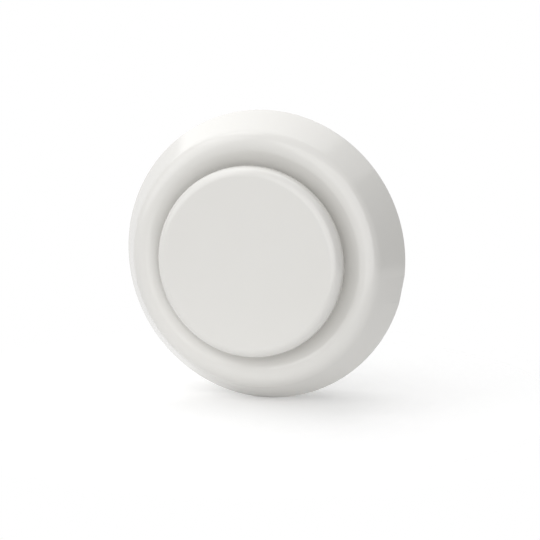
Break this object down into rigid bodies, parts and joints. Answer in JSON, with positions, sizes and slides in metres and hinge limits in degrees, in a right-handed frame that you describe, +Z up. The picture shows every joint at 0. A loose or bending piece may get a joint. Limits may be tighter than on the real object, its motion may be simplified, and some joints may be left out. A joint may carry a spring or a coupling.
{
  "type": "extract air valve",
  "caption": "Round white plastic extract air valve: skirted body with a funnel, a flat adjusting disc on a screw spindle, and a bayonet ring for a duct end.",
  "frame": {"origin": "on the valve's axis, in the plane of the wall, at the mounting ring's rear face", "axes": "+Y along the valve's axis into the duct, front of the disc towards -Y, +Z up"},
  "size_m": [0.165, 0.0658, 0.165],
  "materials": {
    "white_plastic": "glossy moulded white",
    "ring_plastic": "satin white",
    "gasket_foam": "closed-cell foam",
    "spindle_plastic": "satin natural",
    "nut_plastic": "satin natural",
    "plated_steel": "zinc plated"
  },
  "bodies": {
    "ring": {"mounting_ring": "ring_plastic"},
    "valve": {"valve_body": "white_plastic", "flange_gasket": "gasket_foam"},
    "clip": {"stop_clip": "plated_steel"},
    "disc": {"centre_disc": "white_plastic", "spindle": "spindle_plastic"},
    "washer": {"lock_washer": "plated_steel"},
    "nut": {"lock_nut": "nut_plastic"}
  },
  "joints": [
    {"name": "bayonet_twist", "type": "hinge", "parent": "ring", "child": "valve", "pos_m": [0, 0, 0], "axis": [0, -1, 0], "range_deg": [0, 18]},
    {"name": "disc_travel", "type": "slide", "parent": "valve", "child": "clip", "axis": [0, -1, 0], "range_m": [-0.00601, 0.00751]},
    {"name": "disc_turn", "type": "hinge", "parent": "clip", "child": "disc", "pos_m": [0, 0, 0], "axis": [0, -1, 0], "range_deg": [-720, 900]},
    {"name": "nut_travel", "type": "slide", "parent": "valve", "child": "washer", "axis": [0, 1, 0], "range_m": [0, 0.00451]},
    {"name": "nut_turn", "type": "hinge", "parent": "washer", "child": "nut", "pos_m": [0, 0, 0], "axis": [0, 1, 0], "range_deg": [0, 540]}
  ],
  "couplings": [
    {"joint": "disc_travel", "follows": "disc_turn", "m_per_rad": 0.00047746},
    {"joint": "nut_travel", "follows": "nut_turn", "m_per_rad": 0.00047746}
  ]
}
